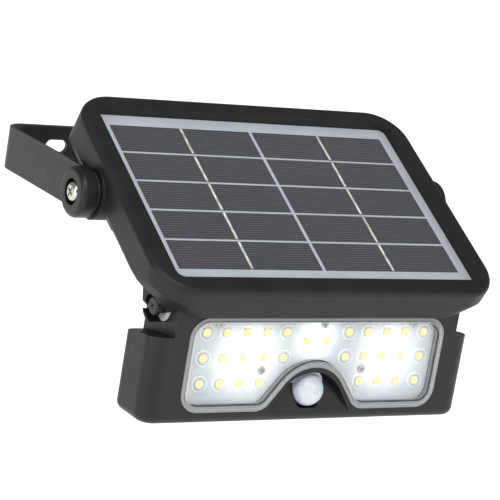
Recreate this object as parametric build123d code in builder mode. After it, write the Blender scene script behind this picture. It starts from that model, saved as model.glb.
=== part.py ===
"""Wall-mounted solar flood light with a motion sensor, in millimetres.

The origin is the middle of the bracket's wall face: +Y points into the wall, +Z up and +X along
the long side. The solar housing turns in the U-bracket about the pivot axis, and the lamp head
turns under the housing's front edge about the hinge axis. Both axes run along X.
"""
from build123d import *

import os
from math import atan2, cos, radians, sin, tan

os.makedirs("parts", exist_ok=True)

# ---- driving dimensions -------------------------------------------------------------------
PANEL_TILT = 29.0            # slope of the solar panel in the stored pose
ARM_LENGTH = 96.5            # pivot axis to wall face

# solar cells: strips taken as half the width of a 156 mm wafer
CELL_COLUMNS, CELL_ROWS = 2, 5
CELL_W, CELL_H = 78.0, 18.0
CELL_PITCH_X = CELL_W + 2.0
CELL_PITCH_Y = CELL_H + 1.4

# laminate: height of the clear cover above the panel plane, then sheet thicknesses going down
LAMINATE_W, LAMINATE_L, LAMINATE_R = 169.6, 112.2, 3.8
LAMINATE_Y = -1.0            # the wider white border is at the front
GLASS_TOP, GLASS_T, RIBBON_T, CELL_T, SHEET_T = 0.6, 0.5, 0.1, 0.2, 3.0

# housing, in the panel's own frame (x, y up the slope, z out of the glass)
HOUSING_W, HOUSING_L, HOUSING_R = 190.0, 132.2, 20.0
BEZEL_TOP, SEAM_Z = 4.5, 1.0
WALL = 2.0
LIP_Z = -12.4                # lower edge of the front visor
FLOOR_Z, WAIST_Z = -19.5, -15.0
HUMP_Z, HUMP_W = -25.0, 144.0
HUMP_Y = (5.0, 50.6)
PIVOT_Y, PIVOT_Z = 15.9, -14.5
HINGE_Y, HINGE_Z = -51.0, -20.9

# bracket
STRAP_W, STRAP_T, STRAP_HALF, STRAP_BEND = 21.0, 2.0, 98.0, 12.0
SLOT_X, SLOT_LENGTH, SLOT_WIDTH = 67.0, 12.0, 6.5

# pivot
BOSS_R, BOSS_X = 13.0, 95.2
CAP_R, CAP_X, SCREW_FACE_X = 12.2, 105.5, 106.0
SPIGOT_R, RUNNING = 4.0, 0.05
PIVOT_SCREW_R, PIVOT_HEAD_R = 2.45, 4.9

# lamp head: half widths, front and back faces measured from the hinge axis
HEAD_HALF, HEAD_MID = 90.0, 79.5
HEAD_FRONT, HEAD_BACK = -13.9, 15.0
HEAD_BOTTOM, FOOT_R = -53.0, 4.4
WING_TOP, WING_BACK = -10.5, -15.6
HEAD_SPLIT = 5.4             # joint between front shell and back cover
EAR_R, EAR_IN, EAR_OUT = 7.5, 80.0, 86.5

# lens outline in the lamp's front plane, heights from the hinge axis
LENS_HALF, LENS_TOP, LENS_BOTTOM = 71.7, -1.3, -46.9
ARCH_R, ARCH_SLOPE, ARCH_TOP = 20.2, 53.0, -25.8

# LEDs, heights from the hinge axis
LED_PITCH_X, LED_PITCH_Z, LED_TOP_Z = 10.94, 12.36, -9.3
BOARD_FACE, BOARD_T = -10.7, 1.6
OPTIC_R, OPTIC_H = 3.9, 3.0

# motion sensor dome, with its flange behind the cove's floor
DOME_R, DOME_Z, COVE_DEPTH = 8.0, -38.0, 9.0
FLANGE_R, FLANGE_AT = 9.2, -2.0

# ---- reference frames ---------------------------------------------------------------------
up, out = sin(radians(PANEL_TILT)), cos(radians(PANEL_TILT))
panel_y0 = -ARM_LENGTH - PIVOT_Y * out + PIVOT_Z * up
panel_z0 = -PIVOT_Y * up - PIVOT_Z * out


def row_point(x, y, z):
    """A point of the panel's frame, in the part's frame."""
    return (x, panel_y0 + y * out - z * up, panel_z0 + y * up + z * out)


hinge = row_point(0, HINGE_Y, HINGE_Z)
panel = Plane(origin=(0, panel_y0, panel_z0), x_dir=(1, 0, 0), z_dir=(0, -up, out))
panel_side = Plane(origin=(0, panel_y0, panel_z0), x_dir=(0, out, up), z_dir=(1, 0, 0))
panel_front = Plane(origin=(0, panel_y0, panel_z0), x_dir=(1, 0, 0), z_dir=(0, -out, -up))
lamp_side = Plane(origin=hinge, x_dir=(0, 1, 0), z_dir=(1, 0, 0))
lamp_face = Plane(origin=hinge, x_dir=(1, 0, 0), z_dir=(0, -1, 0))
lamp_top = Plane(origin=hinge, x_dir=(1, 0, 0), z_dir=(0, 0, 1))
pivot_side = Plane(origin=(0, -ARM_LENGTH, 0), x_dir=(0, 1, 0), z_dir=(1, 0, 0))
sides = (-1, 1)


def save(piece, name):
    """Label one finished piece and write it."""
    piece.label = name
    export_step(piece, f"parts/{name}.step")


# ---- solar laminate -----------------------------------------------------------------------
glass_bottom = GLASS_TOP - GLASS_T
cell_top = glass_bottom - RIBBON_T
sheet_top = cell_top - CELL_T
sheet_bottom = sheet_top - SHEET_T

with BuildPart() as panel_glass:
    with BuildSketch(panel.offset(GLASS_TOP)):
        with Locations((0, LAMINATE_Y)):
            RectangleRounded(LAMINATE_W, LAMINATE_L, LAMINATE_R)
    extrude(amount=-GLASS_T)
    chamfer(panel_glass.edges().group_by(Axis(panel.origin, panel.z_dir))[-1], 0.2)
save(panel_glass.part, "panel_glass")

with BuildPart() as solar_cells:
    with BuildSketch(panel.offset(cell_top)):
        with GridLocations(CELL_PITCH_X, CELL_PITCH_Y, CELL_COLUMNS, CELL_ROWS):
            Rectangle(CELL_W, CELL_H)
    extrude(amount=-CELL_T)
save(solar_cells.part, "solar_cells")

with BuildPart() as busbar_ribbons:
    with BuildSketch(panel.offset(glass_bottom)):
        with GridLocations(CELL_PITCH_X, CELL_PITCH_Y, CELL_COLUMNS, CELL_ROWS):
            Rectangle(1.3, CELL_H - 0.6)
    extrude(amount=-RIBBON_T)
save(busbar_ribbons.part, "busbar_ribbons")

with BuildPart() as panel_backsheet:
    with BuildSketch(panel.offset(sheet_top)):
        with Locations((0, LAMINATE_Y)):
            RectangleRounded(LAMINATE_W, LAMINATE_L, LAMINATE_R)
    extrude(amount=-SHEET_T)
save(panel_backsheet.part, "panel_backsheet")

# ---- front bezel --------------------------------------------------------------------------
LEDGE_T, LEDGE_W = 1.3, 7.0
FRONT_SCREWS = [(79.0 * s, -24.0) for s in sides]
REAR_SCREWS = [(x * s, y) for x, y in ((79.0, 44.0), (28.0, 53.6)) for s in sides]
SCREW_LEVELS = ((FRONT_SCREWS, WAIST_Z), (REAR_SCREWS, FLOOR_Z))

with BuildPart() as front_bezel:
    with BuildSketch(panel.offset(SEAM_Z)):
        with Locations((0, LAMINATE_Y)):
            RectangleRounded(HOUSING_W, HOUSING_L, HOUSING_R)
    extrude(amount=BEZEL_TOP - SEAM_Z)
    fillet(front_bezel.edges().group_by(Axis(panel.origin, panel.z_dir))[-1], 3.0)
    with BuildSketch(panel.offset(SEAM_Z)):
        with Locations((0, LAMINATE_Y)):
            RectangleRounded(HOUSING_W - 2 * WALL - 1.4, HOUSING_L - 2 * WALL - 0.4, HOUSING_R - WALL - 0.4)
            RectangleRounded(LAMINATE_W - 1, LAMINATE_L - 1, LAMINATE_R, mode=Mode.SUBTRACT)
    extrude(amount=sheet_bottom - LEDGE_T - SEAM_Z)
    with BuildSketch(panel.offset(sheet_bottom)):
        with Locations((0, LAMINATE_Y)):
            RectangleRounded(LAMINATE_W, LAMINATE_L, LAMINATE_R)
            RectangleRounded(
                LAMINATE_W - 2 * LEDGE_W, LAMINATE_L - 2 * LEDGE_W, LAMINATE_R, mode=Mode.SUBTRACT
            )
    extrude(amount=-LEDGE_T)
    for spots, level in SCREW_LEVELS:
        with BuildSketch(panel.offset(level + WALL)):
            with Locations(*spots):
                Circle(2.9)
        extrude(amount=sheet_bottom - 0.1 - level - WALL)
    with BuildSketch(panel.offset(BEZEL_TOP)):
        with Locations((0, LAMINATE_Y)):
            RectangleRounded(LAMINATE_W + 0.4, LAMINATE_L + 0.4, LAMINATE_R + 0.2)
    extrude(amount=sheet_bottom - BEZEL_TOP, mode=Mode.SUBTRACT)
    for spots, level in SCREW_LEVELS:
        with BuildSketch(panel.offset(level + WALL)):
            with Locations(*spots):
                Circle(1.3)
        extrude(amount=7.0, mode=Mode.SUBTRACT)
    for s in sides:
        with BuildSketch(pivot_side.offset(s * 85.5)):
            Circle(BOSS_R + 0.3)
        extrude(amount=s * 10, mode=Mode.SUBTRACT)
save(front_bezel.part, "front_bezel")

with BuildPart() as panel_gasket:
    with BuildSketch(panel.offset(glass_bottom)):
        with Locations((0, LAMINATE_Y)):
            RectangleRounded(LAMINATE_W + 0.4, LAMINATE_L + 0.4, LAMINATE_R + 0.2)
            RectangleRounded(LAMINATE_W, LAMINATE_L, LAMINATE_R, mode=Mode.SUBTRACT)
    extrude(amount=sheet_bottom - glass_bottom)
save(panel_gasket.part, "panel_gasket")

# ---- rear shell ---------------------------------------------------------------------------
CORE_R, LENS_SWEEP_R = 14.4, 16.3      # hollows that the lamp's core and its lens turn in
TROUGH_WALL = 1.6
SHOULDER_Z, CORNER_Z, CORNER_R = -5.0, -27.0, 55.0
front_y = LAMINATE_Y - HOUSING_L / 2
back_y = LAMINATE_Y + HOUSING_L / 2


def outline(height, front_radius, inset=0):
    """The housing's plan at a height, with its own radius on the two front corners."""
    with BuildSketch(panel.offset(height)) as plan:
        with Locations((0, LAMINATE_Y)):
            Rectangle(HOUSING_W - 2 * inset, HOUSING_L - 2 * inset)
        corners = plan.vertices().group_by(Axis(panel.origin, panel.y_dir))
        fillet(corners[0], front_radius - inset)
        corners = plan.vertices().group_by(Axis(panel.origin, panel.y_dir))
        fillet(corners[-1], HOUSING_R - inset)
    return plan.sketch


def sleeve(inset, top):
    """Straight sides down to the shoulder, then front corners that widen towards the bottom."""
    with BuildPart() as body:
        add(outline(top, HOUSING_R, inset))
        extrude(amount=SHOULDER_Z - top, dir=panel.z_dir)
        loft([outline(SHOULDER_Z, HOUSING_R, inset), outline(CORNER_Z, CORNER_R, inset)])
    return body.part


def housing_block(inset):
    """The rear shell's outer form, or the space inside it when inset by the wall."""
    with BuildPart() as block:
        add(sleeve(inset, SEAM_Z))
        with BuildSketch(panel_side):
            with BuildLine():
                Polyline(
                    (front_y - 5, SEAM_Z), (front_y - 5, LIP_Z + 1.3 * inset),
                    (-44 - inset, LIP_Z + 1.3 * inset), (-34, WAIST_Z + inset),
                    (-10, WAIST_Z + inset), (-2, FLOOR_Z + inset),
                    (back_y - 6 - inset, FLOOR_Z + inset), (back_y - inset, FLOOR_Z + 9),
                    (back_y - inset, SEAM_Z), close=True,
                )
            make_face()
        extrude(amount=HOUSING_W, both=True, mode=Mode.INTERSECT)
        with BuildSketch(panel_side):
            with Locations(((HUMP_Y[0] + HUMP_Y[1]) / 2, (HUMP_Z + SEAM_Z) / 2 + inset / 2)):
                RectangleRounded(HUMP_Y[1] - HUMP_Y[0] - 2 * inset, SEAM_Z - HUMP_Z - inset, 3.0)
        extrude(amount=HUMP_W / 2 - inset, both=True)
        with BuildSketch(panel_front):
            with BuildLine():
                half = HOUSING_W / 2 - inset
                Polyline(
                    (half, SEAM_Z), (half - 1.0, inset - 12.5), (half - 3.5, inset - 17.5),
                    (half - 12, inset - 25.5), (12 - half, inset - 25.5), (3.5 - half, inset - 17.5),
                    (1.0 - half, inset - 12.5), (-half, SEAM_Z), close=True,
                )
            make_face()
        extrude(amount=HOUSING_L, both=True, mode=Mode.INTERSECT)
    return block.part


def trough(clearance, half_length):
    """The hollow under the front edge that the lamp head turns in."""
    with BuildPart() as hollow:
        with BuildSketch(lamp_side):
            Circle(LENS_SWEEP_R + clearance)
            with Locations((LENS_SWEEP_R, 0)):
                Rectangle(2 * LENS_SWEEP_R, 60, mode=Mode.SUBTRACT)
            with Locations((0, 5.5 + clearance + 30)):
                Rectangle(60, 60, mode=Mode.SUBTRACT)
            Circle(CORE_R + clearance)
        extrude(amount=half_length, both=True)
    return hollow.part


shell_outer = housing_block(0)
shell_space = housing_block(WALL)
trough_outer = trough(TROUGH_WALL, EAR_IN + TROUGH_WALL)
trough_inner = trough(0, EAR_IN)
tongue_front = (front_y, LIP_Z)
tongue_back = (-35, WAIST_Z)
CABLE_ANGLE, CABLE_R = 80.0, 1.6       # the lamp cable leaves the trough here
CABLE_X, GROMMET_R = 16.0, 3.0
CABLE_GAP = 1.4                        # the cable's flexing middle, either side of the hinge axis
cable_way = (0, cos(radians(CABLE_ANGLE)), sin(radians(CABLE_ANGLE)))
cable_plane = Plane(origin=(CABLE_X, *hinge[1:]), x_dir=(1, 0, 0), z_dir=cable_way)

with BuildPart() as ear_space:
    add(sleeve(0, SEAM_Z))
    with BuildSketch(panel.offset(CORNER_Z)):
        Rectangle(HOUSING_W, HOUSING_L)
    extrude(amount=-20)

with BuildPart() as trough_wall:
    add(trough_outer)
    add(shell_outer, mode=Mode.INTERSECT)

with BuildPart() as rear_shell:
    add(shell_outer)
    for s in sides:
        with BuildSketch(panel_side.offset(s * EAR_IN)):
            with Locations((HINGE_Y, HINGE_Z)):
                Circle(EAR_R)
            with BuildLine():
                Polyline(tongue_front, tongue_back, (-42, SEAM_Z - 4), (front_y, SEAM_Z - 4), close=True)
            make_face()
            make_hull()
        extrude(amount=s * (EAR_OUT - EAR_IN))
    add(ear_space, mode=Mode.INTERSECT)
    add(shell_space, mode=Mode.SUBTRACT)
    add(trough_wall.part)
    for s in sides:
        with BuildSketch(pivot_side.offset(s * 86.0)):
            Circle(BOSS_R)
        extrude(amount=s * (BOSS_X - 86.0))
        with BuildSketch(pivot_side.offset(s * 81.5)):
            Circle(6.5)
        extrude(amount=s * 8.0)
    add(trough_inner, mode=Mode.SUBTRACT)
    for s in sides:
        with BuildSketch(pivot_side.offset(s * 83.5)):
            Circle(3.4)
        extrude(amount=s * 20, mode=Mode.SUBTRACT)
        with BuildSketch(lamp_side.offset(s * (EAR_OUT - 3.5))):
            Circle(5.6)
        extrude(amount=s * 20, mode=Mode.SUBTRACT)
        with BuildSketch(lamp_side.offset(s * (EAR_IN - 1))):
            Circle(3.0 + RUNNING)
        extrude(amount=s * 10, mode=Mode.SUBTRACT)
    for spots, level in SCREW_LEVELS:
        with BuildSketch(panel.offset(level + WALL + 1)):
            with Locations(*spots):
                Circle(1.7)
        extrude(amount=-20, mode=Mode.SUBTRACT)
    with BuildSketch(cable_plane):
        Circle(GROMMET_R)
    extrude(amount=CORE_R + 4, mode=Mode.SUBTRACT)
save(rear_shell.part, "rear_shell")

# ---- pivot hardware on both sides of the housing ------------------------------------------
WASHER_T = 0.7
CAP_IN = STRAP_HALF + 0.1
HEAD_SEAT = SCREW_FACE_X - 3.6

with BuildPart() as pivot_inserts:
    for s in sides:
        with BuildSketch(pivot_side.offset(s * 84.0)):
            Circle(3.4)
            Circle(2.5, mode=Mode.SUBTRACT)
        extrude(amount=s * (BOSS_X - 84.0))
save(pivot_inserts.part, "pivot_inserts")

with BuildPart() as friction_washers:
    for s in sides:
        with BuildSketch(pivot_side.offset(s * BOSS_X)):
            Circle(10.0)
            Circle(SPIGOT_R + 0.2, mode=Mode.SUBTRACT)
        extrude(amount=s * WASHER_T)
save(friction_washers.part, "friction_washers")


def cross_recess(plane, size, depth):
    """The Phillips recess, for subtracting from a screw head whose face is on the plane."""
    with BuildPart() as cross:
        with BuildSketch(plane):
            Rectangle(size, size * 0.2)
            Rectangle(size * 0.2, size)
            Circle(size * 0.17)
        extrude(amount=-depth, taper=12)
    return cross.part


for s, side_name in zip(sides, ("left", "right")):
    with BuildPart() as pivot_cap:
        with BuildSketch(pivot_side.offset(s * CAP_IN)):
            Circle(CAP_R)
        extrude(amount=s * (CAP_X - CAP_IN))
        fillet(pivot_cap.edges().group_by(Axis.X)[-1 if s > 0 else 0], 2.6)
        with BuildSketch(pivot_side.offset(s * CAP_IN)):
            Circle(SPIGOT_R)
        extrude(amount=-s * (CAP_IN - BOSS_X))
        with BuildSketch(pivot_side.offset(s * HEAD_SEAT)):
            Circle(6.4)
        extrude(amount=s * 10, mode=Mode.SUBTRACT)
        with BuildSketch(pivot_side.offset(s * BOSS_X)):
            Circle(2.6)
        extrude(amount=s * 10, mode=Mode.SUBTRACT)
    save(pivot_cap.part, f"pivot_cap_{side_name}")

    face = Plane(origin=(s * SCREW_FACE_X, -ARM_LENGTH, 0), x_dir=(0, 0.87, 0.5), z_dir=(s, 0, 0))
    recess = cross_recess(face, 5.4, 2.2)
    with BuildPart() as pivot_screw:
        with BuildSketch(pivot_side.offset(s * 86.0)):
            Circle(PIVOT_SCREW_R)
        extrude(amount=s * (HEAD_SEAT - 86.0))
        with BuildSketch(pivot_side.offset(s * HEAD_SEAT)):
            Circle(PIVOT_HEAD_R)
        extrude(amount=s * (SCREW_FACE_X - HEAD_SEAT))
        fillet(pivot_screw.edges().group_by(Axis.X)[-1 if s > 0 else 0], 2.4)
        add(recess, mode=Mode.SUBTRACT)
    save(pivot_screw.part, f"pivot_screw_{side_name}")

# ---- wall bracket: one bent steel strap ---------------------------------------------------
with BuildPart() as wall_bracket:
    with BuildSketch(Plane.XY):
        with BuildLine():
            FilletPolyline(
                (-STRAP_HALF, -ARM_LENGTH - STRAP_W / 2), (-STRAP_HALF, 0), (STRAP_HALF, 0),
                (STRAP_HALF, -ARM_LENGTH - STRAP_W / 2), radius=STRAP_BEND,
            )
            offset(amount=STRAP_T, side=Side.RIGHT)
        make_face()
    extrude(amount=STRAP_W / 2, both=True)
    with BuildSketch(Plane.YZ):
        with Locations((-ARM_LENGTH / 2, 0)):
            Rectangle(ARM_LENGTH, STRAP_W)
        with Locations((-ARM_LENGTH, 0)):
            Circle(STRAP_W / 2)
    extrude(amount=STRAP_HALF, both=True, mode=Mode.INTERSECT)
    with BuildSketch(pivot_side):
        Circle(SPIGOT_R + RUNNING)
    extrude(amount=STRAP_HALF, both=True, mode=Mode.SUBTRACT)
    with BuildSketch(Plane.XZ):
        with Locations((-SLOT_X, 0), (SLOT_X, 0)):
            SlotOverall(SLOT_LENGTH, SLOT_WIDTH)
    extrude(amount=STRAP_T, mode=Mode.SUBTRACT)
save(wall_bracket.part, "wall_bracket")

# ---- battery pack and charge board --------------------------------------------------------
BATTERY_R, BATTERY_L = 9.2, 65.0
BATTERY_X, BATTERY_Y, BATTERY_Z = -28.0, (18.4, 37.6), -13.5
hump_floor = HUMP_Z + WALL
BOARD_X, BOARD_Y, BOARD_Z = 45.0, 29.0, -16.0
BOARD_SIZE = (44.0, 34.0)
board_posts = [(BOARD_X + dx, BOARD_Y + dy) for dx in (-18, 18) for dy in (-13.5, 13.5)]
cross = Plane(origin=row_point(BATTERY_X, 0, BATTERY_Z), x_dir=(0, out, up), z_dir=(1, 0, 0))

with BuildPart() as battery_cells:
    with BuildSketch(cross.offset(-BATTERY_L / 2)):
        with Locations(*[(y, 0) for y in BATTERY_Y]):
            Circle(BATTERY_R)
    extrude(amount=BATTERY_L)
    chamfer(battery_cells.edges(), 0.6)
    with BuildSketch(cross.offset(BATTERY_L / 2)):
        with Locations((BATTERY_Y[0], 0)):
            Circle(2.7)
    extrude(amount=0.9)
    with BuildSketch(cross.offset(-BATTERY_L / 2)):
        with Locations((BATTERY_Y[1], 0)):
            Circle(2.7)
    extrude(amount=-0.9)
save(battery_cells.part, "battery_cells")

middle_y = sum(BATTERY_Y) / 2
with BuildPart() as battery_holder:
    with BuildSketch(cross.offset(-BATTERY_L / 2 - 3.2)):
        with Locations((middle_y, -5.0)):
            RectangleRounded(39.6, 9.0, 3.4)
    extrude(amount=BATTERY_L + 6.4)
    with BuildSketch(cross.offset(-BATTERY_L / 2 - 1.8)):
        with Locations(*[(y, 0) for y in BATTERY_Y]):
            Circle(BATTERY_R + 0.15)
        with Locations((middle_y, 0.8)):
            Rectangle(27.4, 6.4)
    extrude(amount=BATTERY_L + 3.6, mode=Mode.SUBTRACT)
save(battery_holder.part, "battery_holder")

with BuildPart() as battery_contacts:
    for s in sides:
        with BuildSketch(cross.offset(s * (BATTERY_L / 2 + 1.2))):
            with Locations((middle_y, 0.8)):
                Rectangle(27.0, 6.0)
        extrude(amount=s * 0.3)
save(battery_contacts.part, "battery_contacts")

with BuildPart() as charge_board:
    with BuildSketch(panel.offset(BOARD_Z)):
        with Locations((BOARD_X, BOARD_Y)):
            RectangleRounded(*BOARD_SIZE, 1.0)
        with Locations(*board_posts):
            Circle(1.6, mode=Mode.SUBTRACT)
    extrude(amount=BOARD_T)
save(charge_board.part, "charge_board")

chips = (
    (-18, -8.5, 6, 5, 4.5), (0, 0, 8, 6, 1.6), (-10, 6, 5, 4, 1.5),
    (9, -8, 6, 6, 2.8), (11, 7, 4, 3, 1.2), (-4, 10, 7, 5, 2.2),
)
with BuildPart() as charge_components:
    for dx, dy, w, l, h in chips:
        with BuildSketch(panel.offset(BOARD_Z + BOARD_T)):
            with Locations((BOARD_X + dx, BOARD_Y + dy)):
                Rectangle(w, l)
        extrude(amount=h)
save(charge_components.part, "charge_components")

with BuildPart() as board_stand:
    with BuildSketch(panel.offset(hump_floor)):
        with Locations((BOARD_X, BOARD_Y)):
            RectangleRounded(BOARD_SIZE[0] - 2, BOARD_SIZE[1] - 2, 2)
            RectangleRounded(BOARD_SIZE[0] - 10, BOARD_SIZE[1] - 12, 2, mode=Mode.SUBTRACT)
    extrude(amount=1.2)
    with BuildSketch(panel.offset(hump_floor)):
        with Locations(*board_posts):
            Circle(2.8)
    extrude(amount=BOARD_Z - hump_floor)
    with BuildSketch(panel.offset(BOARD_Z)):
        with Locations(*board_posts):
            Circle(1.2)
    extrude(amount=-4.5, mode=Mode.SUBTRACT)
save(board_stand.part, "board_stand")


def screws(plane, spots, shank_r, length, head_r, head_h, recess):
    """Pan-head screws whose heads sit on the plane and whose shanks go against its normal."""
    with BuildPart() as group:
        with BuildSketch(plane):
            with Locations(*spots):
                Circle(shank_r)
        extrude(amount=-length)
        with BuildSketch(plane):
            with Locations(*spots):
                Circle(head_r)
        extrude(amount=head_h)
        tops = group.faces().filter_by(Plane(plane.origin, z_dir=plane.z_dir))
        tops = tops.group_by(Axis(plane.origin, plane.z_dir))[-1]
        fillet(tops.edges(), head_h * 0.45)
        with BuildSketch(plane.offset(head_h)):
            with Locations(*spots):
                Rectangle(recess, recess * 0.2)
                Rectangle(recess * 0.2, recess)
        extrude(amount=-head_h * 0.6, mode=Mode.SUBTRACT)
    return group.part


save(screws(panel.offset(BOARD_Z + BOARD_T), board_posts, 1.2, 5.5, 2.3, 1.6, 2.6), "charge_board_screws")
housing_screws = [
    screws(Plane(origin=row_point(0, 0, level), x_dir=(1, 0, 0), z_dir=(0, up, -out)),
           [(x, -y) for x, y in spots], 1.3, 8.0, 2.8, 1.8, 3.0)
    for spots, level in SCREW_LEVELS
]
save(Compound(housing_screws), "housing_screws")

# ---- lamp head shells ---------------------------------------------------------------------
LAMP_WALL = 2.0
front_at = -HEAD_FRONT
arch_base = ARCH_TOP - ARCH_R
arch_apex = arch_base + ARCH_R / cos(radians(ARCH_SLOPE))
COVE_FOOT = LENS_BOTTOM - 2.0
COVE_LEAN = atan2(COVE_DEPTH, ARCH_TOP - COVE_FOOT)
arch_foot = (arch_apex - LENS_BOTTOM) / tan(radians(ARCH_SLOPE))


def head_block(inset):
    """The lamp head's outer form, or the space inside it when inset by the wall."""
    half = HEAD_HALF - inset
    near, far = HEAD_FRONT + inset, HEAD_BACK - inset
    low = HEAD_BOTTOM + inset
    with BuildPart() as block:
        with BuildSketch(lamp_top.offset(WING_TOP - inset)):
            with BuildLine():
                FilletPolyline(
                    (-half, near), (half, near), (half, far), (-half, far),
                    radius=[8.5 - inset, 8.5 - inset, 6.0 - inset, 6.0 - inset], close=True,
                )
            make_face()
        extrude(amount=low - WING_TOP + inset)
        fillet(block.edges().group_by(Axis.Z)[0], FOOT_R - inset)
        with BuildSketch(lamp_side):
            with BuildLine():
                Polyline(
                    (near - 5, WING_TOP - inset), (0, WING_TOP - 1.8 - inset), (far, WING_BACK - inset),
                    (far + 5, WING_BACK - inset), (far + 5, 20), (near - 5, 20), close=True,
                )
            make_face()
        extrude(amount=HEAD_HALF, both=True, mode=Mode.SUBTRACT)
        with BuildSketch(lamp_side):
            Circle(front_at - inset)
            with Locations(((near + far) / 2, WING_TOP)):
                Rectangle(far - near, -2 * WING_TOP)
        extrude(amount=HEAD_MID - inset, both=True)
        for s in sides:
            with BuildSketch(lamp_side.offset(s * (HEAD_MID - inset))):
                Circle(12.5 + inset)
            extrude(amount=s * 20, mode=Mode.SUBTRACT)
    return block.part


def cable_slot():
    """The slot in the lamp's round top that lets the cable swing."""
    with BuildPart() as slot:
        with BuildSketch(lamp_side.offset(CABLE_X - 2.6)):
            with BuildLine():
                Polyline((0, 0), (30 * cos(radians(10)), 30 * sin(radians(10))), (26, 26),
                         (30 * cos(radians(108)), 30 * sin(radians(108))), close=True)
            make_face()
            Circle(9.0, mode=Mode.SUBTRACT)
        extrude(amount=5.2)
    return slot.part


def lens_slab(inset, front, back):
    """A slab with the lens's outline drawn smaller by inset, between two depths from the hinge axis."""
    with BuildPart() as slab:
        with BuildSketch(lamp_face.offset(back)):
            with BuildLine():
                FilletPolyline(
                    (-LENS_HALF, LENS_TOP), (LENS_HALF, LENS_TOP), (LENS_HALF, LENS_BOTTOM),
                    (arch_foot, LENS_BOTTOM), (0, arch_apex), (-arch_foot, LENS_BOTTOM),
                    (-LENS_HALF, LENS_BOTTOM),
                    radius=[10, 10, 9.5, 9, ARCH_R, 9, 9.5], close=True,
                )
            make_face()
            if inset:
                offset(amount=-inset, mode=Mode.REPLACE)
        extrude(amount=front - back)
    return slab.part


def cove_block(inset):
    """The scoop below the lens's arch, whose floor slopes back from the lamp's lower edge."""
    back, drop = inset * cos(COVE_LEAN), inset * sin(COVE_LEAN)
    with BuildPart() as cove:
        with BuildSketch(lamp_face.offset(front_at - 20)):
            with BuildLine():
                FilletPolyline(
                    (arch_foot - 1 + inset, LENS_BOTTOM - 3 - inset), (0, arch_apex - 0.8 + inset * 1.6),
                    (1 - arch_foot - inset, LENS_BOTTOM - 3 - inset),
                    radius=[2, ARCH_R - 0.5 + inset, 2], close=True,
                )
            make_face()
        extrude(amount=20)
        with BuildSketch(lamp_side):
            with BuildLine():
                Polyline(
                    (HEAD_FRONT - 1, COVE_FOOT - drop), (HEAD_FRONT + back, COVE_FOOT - drop),
                    (HEAD_FRONT + COVE_DEPTH + back + drop, ARCH_TOP + back - drop),
                    (HEAD_FRONT + COVE_DEPTH + back + drop, ARCH_TOP + 20),
                    (HEAD_FRONT - 1, ARCH_TOP + 20), close=True,
                )
            make_face()
        extrude(amount=60, both=True, mode=Mode.INTERSECT)
    return cove.part


dome_depth = (DOME_Z - COVE_FOOT) * tan(COVE_LEAN)
dome_seat = Plane(
    origin=(0, hinge[1] + HEAD_FRONT + dome_depth, hinge[2] + DOME_Z),
    x_dir=(1, 0, 0), z_dir=(0, -cos(COVE_LEAN), -sin(COVE_LEAN)),
)
head_outer = head_block(0)
head_space = head_block(LAMP_WALL)
cove_outer = cove_block(-FLANGE_AT)
cove_inner = cove_block(0)
slot_space = cable_slot()
BACK_SCREWS = [(75.0 * s, z) for z in (-19.0, -45.0) for s in sides] + [(44.0 * s, -47.2) for s in sides]
LED_SCREWS = ((-55.0, -5.0), (3.0, -5.6), (55.0, -5.0), (-28.5, -27.84), (28.5, -27.84))
COUNTERBORE = 1.9                      # the screw heads sit below the back face
BUTTON_X, BUTTON_Z, BUTTON_R = -48.0, -30.0, 4.5
split_plane = lamp_face.offset(-HEAD_SPLIT)
LENS_RIM = 2.4
window = lens_slab(LENS_RIM, front_at + 5, front_at - 4)

with BuildPart() as lens_gasket:
    add(lens_slab(0.6, front_at, front_at - 0.6))
    add(lens_slab(1.8, front_at, front_at - 0.6), mode=Mode.SUBTRACT)
gasket_ring = lens_gasket.part
save(gasket_ring, "lens_gasket")

with BuildPart() as cove_wall:
    add(cove_outer)
    add(head_outer, mode=Mode.INTERSECT)

with BuildPart() as lamp_front_shell:
    add(head_outer)
    add(head_space, mode=Mode.SUBTRACT)
    add(cove_wall.part)
    with BuildSketch(lamp_side):
        Circle(4.8)
        with Locations((0, 6)):
            Rectangle(6.0, 12.0)
    extrude(amount=HEAD_MID - 0.5, both=True)
    with BuildSketch(lamp_side):
        Circle(6.0)
        with Locations((0, 6)):
            Rectangle(8.0, 11.8)
    extrude(amount=68, both=True, mode=Mode.SUBTRACT)
    with BuildSketch(split_plane):
        with Locations(*BACK_SCREWS):
            Circle(2.7)
    extrude(until=Until.NEXT)
    with BuildSketch(lamp_face.offset(-40)):
        Rectangle(400, 400)
    extrude(amount=40 - HEAD_SPLIT, mode=Mode.SUBTRACT)
    add(cove_inner, mode=Mode.SUBTRACT)
    add(window, mode=Mode.SUBTRACT)
    add(gasket_ring, mode=Mode.SUBTRACT)
    with BuildSketch(dome_seat.offset(-6)):
        Circle(DOME_R + 0.1)
    extrude(amount=12, mode=Mode.SUBTRACT)
    with BuildSketch(dome_seat.offset(FLANGE_AT)):
        Circle(FLANGE_R + 0.2)
    extrude(amount=-6, mode=Mode.SUBTRACT)
    with BuildSketch(split_plane):
        with Locations(*BACK_SCREWS):
            Circle(1.1)
    extrude(amount=12, mode=Mode.SUBTRACT)
    for s in sides:
        with BuildSketch(lamp_side.offset(s * 68)):
            Circle(2.6)
        extrude(amount=s * 20, mode=Mode.SUBTRACT)
    add(slot_space, mode=Mode.SUBTRACT)
save(lamp_front_shell.part, "lamp_front_shell")

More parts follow.
